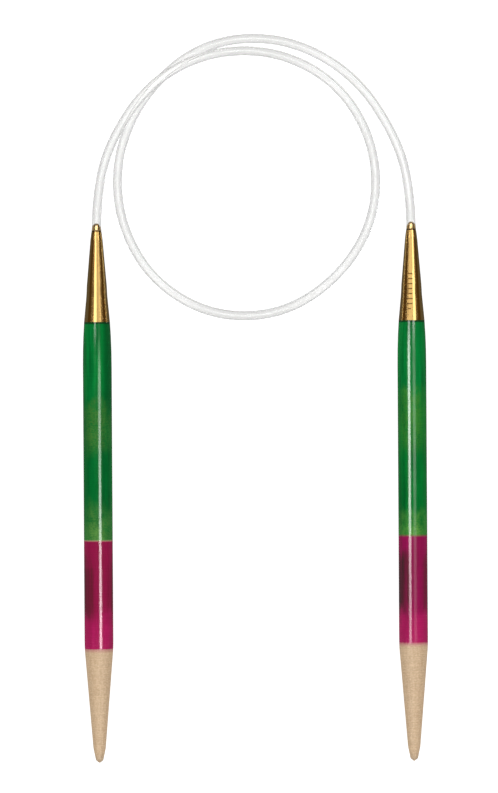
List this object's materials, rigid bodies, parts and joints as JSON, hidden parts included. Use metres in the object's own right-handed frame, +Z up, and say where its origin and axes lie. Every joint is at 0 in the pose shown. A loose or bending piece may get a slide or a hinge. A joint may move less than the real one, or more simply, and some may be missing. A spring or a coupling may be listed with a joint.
{
  "type": "circular knitting needle",
  "caption": "Circular knitting needle: lacquered wooden needles with tapered points and brass ferrules, joined by a clear flexible cord on swivel pins.",
  "frame": {"origin": "on the surface that the object lies on, midway between the two needles and halfway along them", "axes": "+Y along the needles from the wooden points towards the cord, +X from the left needle to the right one, +Z up from the resting surface"},
  "size_m": [0.0892, 0.1896, 0.0075],
  "materials": {
    "lacquered_wood": "dyed green and magenta under gloss lacquer, with a bare matte point",
    "turned_brass": "fine turned, half bright, slightly aged",
    "clear_cord": "clear and colourless, smooth"
  },
  "bodies": {
    "cord": {"cord": "clear_cord", "left_swivel_pin": "turned_brass", "right_swivel_pin": "turned_brass"},
    "left_needle": {"left_needle_shaft": "lacquered_wood", "left_ferrule": "turned_brass"},
    "right_needle": {"right_needle_shaft": "lacquered_wood", "right_ferrule": "turned_brass"}
  },
  "joints": [
    {"name": "left_swivel", "type": "hinge", "parent": "cord", "child": "left_needle", "pos_m": [-0.0409, 0.06795, 0.00375], "axis": [0, 1, 0], "continuous": true},
    {"name": "right_swivel", "type": "hinge", "parent": "cord", "child": "right_needle", "pos_m": [0.0409, 0.06795, 0.00375], "axis": [0, 1, 0], "continuous": true}
  ]
}
